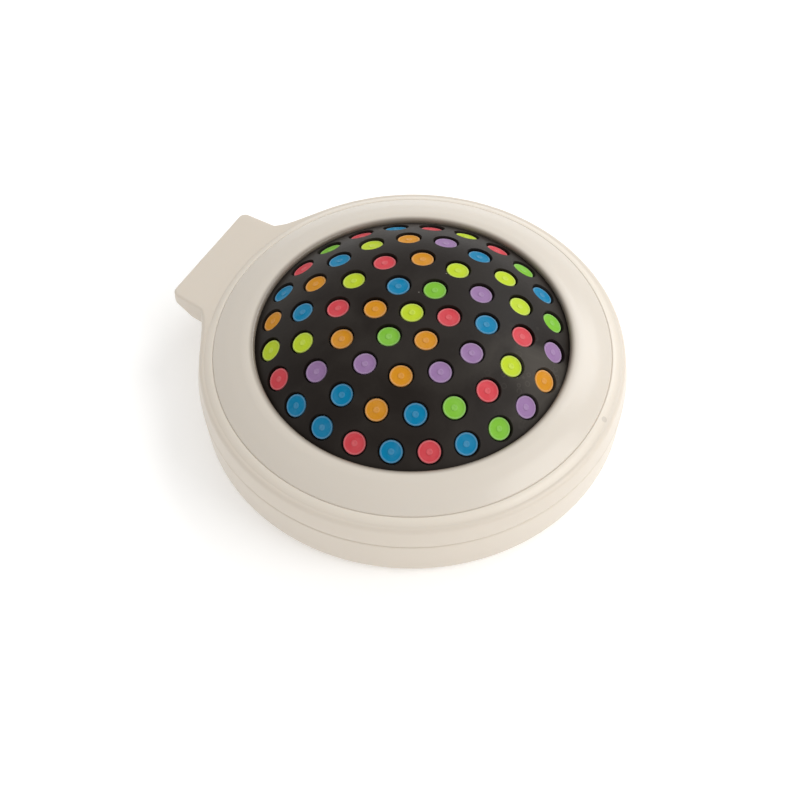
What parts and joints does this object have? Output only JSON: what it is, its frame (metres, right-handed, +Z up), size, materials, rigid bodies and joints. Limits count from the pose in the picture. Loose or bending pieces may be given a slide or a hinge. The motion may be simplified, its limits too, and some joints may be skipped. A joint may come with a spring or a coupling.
{
  "type": "pop-up compact hairbrush",
  "caption": "Round folding compact with a hinged mirror half, a domed rubber pad that pops through and one-piece coloured bristles.",
  "frame": {"origin": "centre of the round case on its resting face", "axes": "+Z up through the domed pad, +Y towards the hinge tab, +X along the hinge pin"},
  "size_m": [0.0706, 0.0763, 0.0234],
  "materials": {
    "case_white": "glossy moulded, very fine scuffs",
    "ring_white": "glossy moulded",
    "pad_rubber": "satin black rubber with dust",
    "mirror_silver": "silvered glass",
    "adhesive_foam": "thin double-sided tape",
    "hinge_steel": "drawn wire",
    "bristle_blue": "moulded nylon, semi-gloss",
    "bristle_red": "moulded nylon, semi-gloss",
    "bristle_lime": "moulded nylon, semi-gloss",
    "bristle_green": "moulded nylon, semi-gloss",
    "bristle_orange": "moulded nylon, semi-gloss",
    "bristle_purple": "moulded nylon, semi-gloss"
  },
  "bodies": {
    "mirror_half": {"mirror_case": "case_white", "mirror_adhesive": "adhesive_foam", "mirror_glass": "mirror_silver"},
    "brush_half": {"brush_case": "case_white", "pad_ring": "ring_white", "rubber_pad": "pad_rubber", "hinge_pin": "hinge_steel"},
    "centre_bristles": {"bristles_centre_lime": "bristle_lime", "bristles_centre_green": "bristle_green", "bristles_centre_blue": "bristle_blue", "bristles_centre_orange": "bristle_orange", "bristles_centre_red": "bristle_red", "bristles_centre_purple": "bristle_purple"},
    "bristle_middle_01_seat": {"bristle_middle_01": "bristle_blue"},
    "bristle_middle_02_seat": {"bristle_middle_02": "bristle_purple"},
    "bristle_middle_03_seat": {"bristle_middle_03": "bristle_orange"},
    "bristle_middle_04_seat": {"bristle_middle_04": "bristle_lime"},
    "bristle_middle_05_seat": {"bristle_middle_05": "bristle_blue"},
    "bristle_middle_06_seat": {"bristle_middle_06": "bristle_orange"},
    "bristle_middle_07_seat": {"bristle_middle_07": "bristle_blue"},
    "bristle_middle_08_seat": {"bristle_middle_08": "bristle_lime"},
    "bristle_middle_09_seat": {"bristle_middle_09": "bristle_purple"},
    "bristle_middle_10_seat": {"bristle_middle_10": "bristle_blue"},
    "bristle_middle_11_seat": {"bristle_middle_11": "bristle_orange"},
    "bristle_middle_12_seat": {"bristle_middle_12": "bristle_blue"},
    "bristle_middle_13_seat": {"bristle_middle_13": "bristle_green"},
    "bristle_middle_14_seat": {"bristle_middle_14": "bristle_red"},
    "bristle_middle_15_seat": {"bristle_middle_15": "bristle_lime"},
    "bristle_middle_16_seat": {"bristle_middle_16": "bristle_red"},
    "bristle_middle_17_seat": {"bristle_middle_17": "bristle_lime"},
    "bristle_middle_18_seat": {"bristle_middle_18": "bristle_lime"},
    "bristle_outer_01_seat": {"bristle_outer_01": "bristle_red"},
    "bristle_outer_02_seat": {"bristle_outer_02": "bristle_lime"},
    "bristle_outer_03_seat": {"bristle_outer_03": "bristle_red"},
    "bristle_outer_04_seat": {"bristle_outer_04": "bristle_blue"},
    "bristle_outer_05_seat": {"bristle_outer_05": "bristle_red"},
    "bristle_outer_06_seat": {"bristle_outer_06": "bristle_green"},
    "bristle_outer_07_seat": {"bristle_outer_07": "bristle_red"},
    "bristle_outer_08_seat": {"bristle_outer_08": "bristle_blue"},
    "bristle_outer_09_seat": {"bristle_outer_09": "bristle_orange"},
    "bristle_outer_10_seat": {"bristle_outer_10": "bristle_lime"},
    "bristle_outer_11_seat": {"bristle_outer_11": "bristle_red"},
    "bristle_outer_12_seat": {"bristle_outer_12": "bristle_blue"},
    "bristle_outer_13_seat": {"bristle_outer_13": "bristle_blue"},
    "bristle_outer_14_seat": {"bristle_outer_14": "bristle_red"},
    "bristle_outer_15_seat": {"bristle_outer_15": "bristle_blue"},
    "bristle_outer_16_seat": {"bristle_outer_16": "bristle_red"},
    "bristle_outer_17_seat": {"bristle_outer_17": "bristle_blue"},
    "bristle_outer_18_seat": {"bristle_outer_18": "bristle_green"},
    "bristle_outer_19_seat": {"bristle_outer_19": "bristle_purple"},
    "bristle_outer_20_seat": {"bristle_outer_20": "bristle_orange"},
    "bristle_outer_21_seat": {"bristle_outer_21": "bristle_purple"},
    "bristle_outer_22_seat": {"bristle_outer_22": "bristle_green"},
    "bristle_outer_23_seat": {"bristle_outer_23": "bristle_blue"},
    "bristle_outer_24_seat": {"bristle_outer_24": "bristle_green"}
  },
  "joints": [
    {"name": "lid_hinge", "type": "hinge", "parent": "mirror_half", "child": "brush_half", "pos_m": [0, 0.0384, 0.00835], "axis": [-1, 0, 0], "range_deg": [0, 180]},
    {"name": "pad_pop", "type": "slide", "parent": "brush_half", "child": "centre_bristles", "axis": [0, 0, -1], "range_m": [0, 0.014], "deforming": ["rubber_pad"]},
    {"name": "flex_middle_01", "type": "hinge", "parent": "brush_half", "child": "bristle_middle_01_seat", "pos_m": [0.02845, -0.00299, 0.01445], "axis": [-0.1045, -0.9945, 0], "range_deg": [0, 57.91]},
    {"name": "flex_middle_02", "type": "hinge", "parent": "brush_half", "child": "bristle_middle_02_seat", "pos_m": [0.02776, 0.00692, 0.01445], "axis": [0.2419, -0.9703, 0], "range_deg": [0, 57.91]},
    {"name": "flex_middle_03", "type": "hinge", "parent": "brush_half", "child": "bristle_middle_03_seat", "pos_m": [0.02372, 0.016, 0.01445], "axis": [0.5592, -0.829, 0], "range_deg": [0, 57.91]},
    {"name": "flex_middle_04", "type": "hinge", "parent": "brush_half", "child": "bristle_middle_04_seat", "pos_m": [0.01682, 0.02315, 0.01445], "axis": [0.809, -0.5878, 0], "range_deg": [0, 57.91]},
    {"name": "flex_middle_05", "type": "hinge", "parent": "brush_half", "child": "bristle_middle_05_seat", "pos_m": [0.00789, 0.0275, 0.01445], "axis": [0.9613, -0.2756, 0], "range_deg": [0, 57.91]},
    {"name": "flex_middle_06", "type": "hinge", "parent": "brush_half", "child": "bristle_middle_06_seat", "pos_m": [-0.002, 0.02854, 0.01445], "axis": [0.9976, 0.0698, 0], "range_deg": [0, 57.91]},
    {"name": "flex_middle_07", "type": "hinge", "parent": "brush_half", "child": "bristle_middle_07_seat", "pos_m": [-0.01164, 0.02614, 0.01445], "axis": [0.9135, 0.4067, 0], "range_deg": [0, 57.91]},
    {"name": "flex_middle_08", "type": "hinge", "parent": "brush_half", "child": "bristle_middle_08_seat", "pos_m": [-0.01987, 0.02058, 0.01445], "axis": [0.7193, 0.6947, 0], "range_deg": [0, 57.91]},
    {"name": "flex_middle_09", "type": "hinge", "parent": "brush_half", "child": "bristle_middle_09_seat", "pos_m": [-0.02571, 0.01254, 0.01445], "axis": [0.4384, 0.8988, 0], "range_deg": [0, 57.91]},
    {"name": "flex_middle_10", "type": "hinge", "parent": "brush_half", "child": "bristle_middle_10_seat", "pos_m": [-0.02845, 0.00299, 0.01445], "axis": [0.1045, 0.9945, 0], "range_deg": [0, 57.91]},
    {"name": "flex_middle_11", "type": "hinge", "parent": "brush_half", "child": "bristle_middle_11_seat", "pos_m": [-0.02776, -0.00692, 0.01445], "axis": [-0.2419, 0.9703, 0], "range_deg": [0, 57.91]},
    {"name": "flex_middle_12", "type": "hinge", "parent": "brush_half", "child": "bristle_middle_12_seat", "pos_m": [-0.02372, -0.016, 0.01445], "axis": [-0.5592, 0.829, 0], "range_deg": [0, 57.91]},
    {"name": "flex_middle_13", "type": "hinge", "parent": "brush_half", "child": "bristle_middle_13_seat", "pos_m": [-0.01682, -0.02315, 0.01445], "axis": [-0.809, 0.5878, 0], "range_deg": [0, 57.91]},
    {"name": "flex_middle_14", "type": "hinge", "parent": "brush_half", "child": "bristle_middle_14_seat", "pos_m": [-0.00789, -0.0275, 0.01445], "axis": [-0.9613, 0.2756, 0], "range_deg": [0, 57.91]},
    {"name": "flex_middle_15", "type": "hinge", "parent": "brush_half", "child": "bristle_middle_15_seat", "pos_m": [0.002, -0.02854, 0.01445], "axis": [-0.9976, -0.0698, 0], "range_deg": [0, 57.91]},
    {"name": "flex_middle_16", "type": "hinge", "parent": "brush_half", "child": "bristle_middle_16_seat", "pos_m": [0.01164, -0.02614, 0.01445], "axis": [-0.9135, -0.4067, 0], "range_deg": [0, 57.91]},
    {"name": "flex_middle_17", "type": "hinge", "parent": "brush_half", "child": "bristle_middle_17_seat", "pos_m": [0.01987, -0.02058, 0.01445], "axis": [-0.7193, -0.6947, 0], "range_deg": [0, 57.91]},
    {"name": "flex_middle_18", "type": "hinge", "parent": "brush_half", "child": "bristle_middle_18_seat", "pos_m": [0.02571, -0.01254, 0.01445], "axis": [-0.4384, -0.8988, 0], "range_deg": [0, 57.91]},
    {"name": "flex_outer_01", "type": "hinge", "parent": "brush_half", "child": "bristle_outer_01_seat", "pos_m": [0.02458, -0.00258, 0.01564], "axis": [-0.1045, -0.9945, 0], "range_deg": [0, 85.55]},
    {"name": "flex_outer_02", "type": "hinge", "parent": "brush_half", "child": "bristle_outer_02_seat", "pos_m": [0.02441, 0.00387, 0.01564], "axis": [0.1564, -0.9877, 0], "range_deg": [0, 85.55]},
    {"name": "flex_outer_03", "type": "hinge", "parent": "brush_half", "child": "bristle_outer_03_seat", "pos_m": [0.02258, 0.01005, 0.01564], "axis": [0.4067, -0.9135, 0], "range_deg": [0, 85.55]},
    {"name": "flex_outer_04", "type": "hinge", "parent": "brush_half", "child": "bristle_outer_04_seat", "pos_m": [0.01921, 0.01556, 0.01564], "axis": [0.6293, -0.7771, 0], "range_deg": [0, 85.55]},
    {"name": "flex_outer_05", "type": "hinge", "parent": "brush_half", "child": "bristle_outer_05_seat", "pos_m": [0.01453, 0.02, 0.01564], "axis": [0.809, -0.5878, 0], "range_deg": [0, 85.55]},
    {"name": "flex_outer_06", "type": "hinge", "parent": "brush_half", "child": "bristle_outer_06_seat", "pos_m": [0.00886, 0.02308, 0.01564], "axis": [0.9336, -0.3584, 0], "range_deg": [0, 85.55]},
    {"name": "flex_outer_07", "type": "hinge", "parent": "brush_half", "child": "bristle_outer_07_seat", "pos_m": [0.00258, 0.02458, 0.01564], "axis": [0.9945, -0.1045, 0], "range_deg": [0, 85.55]},
    {"name": "flex_outer_08", "type": "hinge", "parent": "brush_half", "child": "bristle_outer_08_seat", "pos_m": [-0.00387, 0.02441, 0.01564], "axis": [0.9877, 0.1564, 0], "range_deg": [0, 85.55]},
    {"name": "flex_outer_09", "type": "hinge", "parent": "brush_half", "child": "bristle_outer_09_seat", "pos_m": [-0.01005, 0.02258, 0.01564], "axis": [0.9135, 0.4067, 0], "range_deg": [0, 85.55]},
    {"name": "flex_outer_10", "type": "hinge", "parent": "brush_half", "child": "bristle_outer_10_seat", "pos_m": [-0.01556, 0.01921, 0.01564], "axis": [0.7771, 0.6293, 0], "range_deg": [0, 85.55]},
    {"name": "flex_outer_11", "type": "hinge", "parent": "brush_half", "child": "bristle_outer_11_seat", "pos_m": [-0.02, 0.01453, 0.01564], "axis": [0.5878, 0.809, 0], "range_deg": [0, 85.55]},
    {"name": "flex_outer_12", "type": "hinge", "parent": "brush_half", "child": "bristle_outer_12_seat", "pos_m": [-0.02308, 0.00886, 0.01564], "axis": [0.3584, 0.9336, 0], "range_deg": [0, 85.55]},
    {"name": "flex_outer_13", "type": "hinge", "parent": "brush_half", "child": "bristle_outer_13_seat", "pos_m": [-0.02458, 0.00258, 0.01564], "axis": [0.1045, 0.9945, 0], "range_deg": [0, 85.55]},
    {"name": "flex_outer_14", "type": "hinge", "parent": "brush_half", "child": "bristle_outer_14_seat", "pos_m": [-0.02441, -0.00387, 0.01564], "axis": [-0.1564, 0.9877, 0], "range_deg": [0, 85.55]},
    {"name": "flex_outer_15", "type": "hinge", "parent": "brush_half", "child": "bristle_outer_15_seat", "pos_m": [-0.02258, -0.01005, 0.01564], "axis": [-0.4067, 0.9135, 0], "range_deg": [0, 85.55]},
    {"name": "flex_outer_16", "type": "hinge", "parent": "brush_half", "child": "bristle_outer_16_seat", "pos_m": [-0.01921, -0.01556, 0.01564], "axis": [-0.6293, 0.7771, 0], "range_deg": [0, 85.55]},
    {"name": "flex_outer_17", "type": "hinge", "parent": "brush_half", "child": "bristle_outer_17_seat", "pos_m": [-0.01453, -0.02, 0.01564], "axis": [-0.809, 0.5878, 0], "range_deg": [0, 85.55]},
    {"name": "flex_outer_18", "type": "hinge", "parent": "brush_half", "child": "bristle_outer_18_seat", "pos_m": [-0.00886, -0.02308, 0.01564], "axis": [-0.9336, 0.3584, 0], "range_deg": [0, 85.55]},
    {"name": "flex_outer_19", "type": "hinge", "parent": "brush_half", "child": "bristle_outer_19_seat", "pos_m": [-0.00258, -0.02458, 0.01564], "axis": [-0.9945, 0.1045, 0], "range_deg": [0, 85.55]},
    {"name": "flex_outer_20", "type": "hinge", "parent": "brush_half", "child": "bristle_outer_20_seat", "pos_m": [0.00387, -0.02441, 0.01564], "axis": [-0.9877, -0.1564, 0], "range_deg": [0, 85.55]},
    {"name": "flex_outer_21", "type": "hinge", "parent": "brush_half", "child": "bristle_outer_21_seat", "pos_m": [0.01005, -0.02258, 0.01564], "axis": [-0.9135, -0.4067, 0], "range_deg": [0, 85.55]},
    {"name": "flex_outer_22", "type": "hinge", "parent": "brush_half", "child": "bristle_outer_22_seat", "pos_m": [0.01556, -0.01921, 0.01564], "axis": [-0.7771, -0.6293, 0], "range_deg": [0, 85.55]},
    {"name": "flex_outer_23", "type": "hinge", "parent": "brush_half", "child": "bristle_outer_23_seat", "pos_m": [0.02, -0.01453, 0.01564], "axis": [-0.5878, -0.809, 0], "range_deg": [0, 85.55]},
    {"name": "flex_outer_24", "type": "hinge", "parent": "brush_half", "child": "bristle_outer_24_seat", "pos_m": [0.02308, -0.00886, 0.01564], "axis": [-0.3584, -0.9336, 0], "range_deg": [0, 85.55]}
  ],
  "couplings": [
    {"joint": "pad_pop", "follows": "lid_hinge", "m_per_rad": 0.0044562},
    {"joint": "flex_middle_01", "follows": "lid_hinge", "ratio": 0.32166},
    {"joint": "flex_middle_02", "follows": "lid_hinge", "ratio": 0.32166},
    {"joint": "flex_middle_03", "follows": "lid_hinge", "ratio": 0.32166},
    {"joint": "flex_middle_04", "follows": "lid_hinge", "ratio": 0.32166},
    {"joint": "flex_middle_05", "follows": "lid_hinge", "ratio": 0.32166},
    {"joint": "flex_middle_06", "follows": "lid_hinge", "ratio": 0.32166},
    {"joint": "flex_middle_07", "follows": "lid_hinge", "ratio": 0.32166},
    {"joint": "flex_middle_08", "follows": "lid_hinge", "ratio": 0.32166},
    {"joint": "flex_middle_09", "follows": "lid_hinge", "ratio": 0.32166},
    {"joint": "flex_middle_10", "follows": "lid_hinge", "ratio": 0.32166},
    {"joint": "flex_middle_11", "follows": "lid_hinge", "ratio": 0.32166},
    {"joint": "flex_middle_12", "follows": "lid_hinge", "ratio": 0.32166},
    {"joint": "flex_middle_13", "follows": "lid_hinge", "ratio": 0.32166},
    {"joint": "flex_middle_14", "follows": "lid_hinge", "ratio": 0.32166},
    {"joint": "flex_middle_15", "follows": "lid_hinge", "ratio": 0.32166},
    {"joint": "flex_middle_16", "follows": "lid_hinge", "ratio": 0.32166},
    {"joint": "flex_middle_17", "follows": "lid_hinge", "ratio": 0.32166},
    {"joint": "flex_middle_18", "follows": "lid_hinge", "ratio": 0.32166},
    {"joint": "flex_outer_01", "follows": "lid_hinge", "ratio": 0.47523},
    {"joint": "flex_outer_02", "follows": "lid_hinge", "ratio": 0.47523},
    {"joint": "flex_outer_03", "follows": "lid_hinge", "ratio": 0.47523},
    {"joint": "flex_outer_04", "follows": "lid_hinge", "ratio": 0.47523},
    {"joint": "flex_outer_05", "follows": "lid_hinge", "ratio": 0.47523},
    {"joint": "flex_outer_06", "follows": "lid_hinge", "ratio": 0.47523},
    {"joint": "flex_outer_07", "follows": "lid_hinge", "ratio": 0.47523},
    {"joint": "flex_outer_08", "follows": "lid_hinge", "ratio": 0.47523},
    {"joint": "flex_outer_09", "follows": "lid_hinge", "ratio": 0.47523},
    {"joint": "flex_outer_10", "follows": "lid_hinge", "ratio": 0.47523},
    {"joint": "flex_outer_11", "follows": "lid_hinge", "ratio": 0.47523},
    {"joint": "flex_outer_12", "follows": "lid_hinge", "ratio": 0.47523},
    {"joint": "flex_outer_13", "follows": "lid_hinge", "ratio": 0.47523},
    {"joint": "flex_outer_14", "follows": "lid_hinge", "ratio": 0.47523},
    {"joint": "flex_outer_15", "follows": "lid_hinge", "ratio": 0.47523},
    {"joint": "flex_outer_16", "follows": "lid_hinge", "ratio": 0.47523},
    {"joint": "flex_outer_17", "follows": "lid_hinge", "ratio": 0.47523},
    {"joint": "flex_outer_18", "follows": "lid_hinge", "ratio": 0.47523},
    {"joint": "flex_outer_19", "follows": "lid_hinge", "ratio": 0.47523},
    {"joint": "flex_outer_20", "follows": "lid_hinge", "ratio": 0.47523},
    {"joint": "flex_outer_21", "follows": "lid_hinge", "ratio": 0.47523},
    {"joint": "flex_outer_22", "follows": "lid_hinge", "ratio": 0.47523},
    {"joint": "flex_outer_23", "follows": "lid_hinge", "ratio": 0.47523},
    {"joint": "flex_outer_24", "follows": "lid_hinge", "ratio": 0.47523}
  ]
}
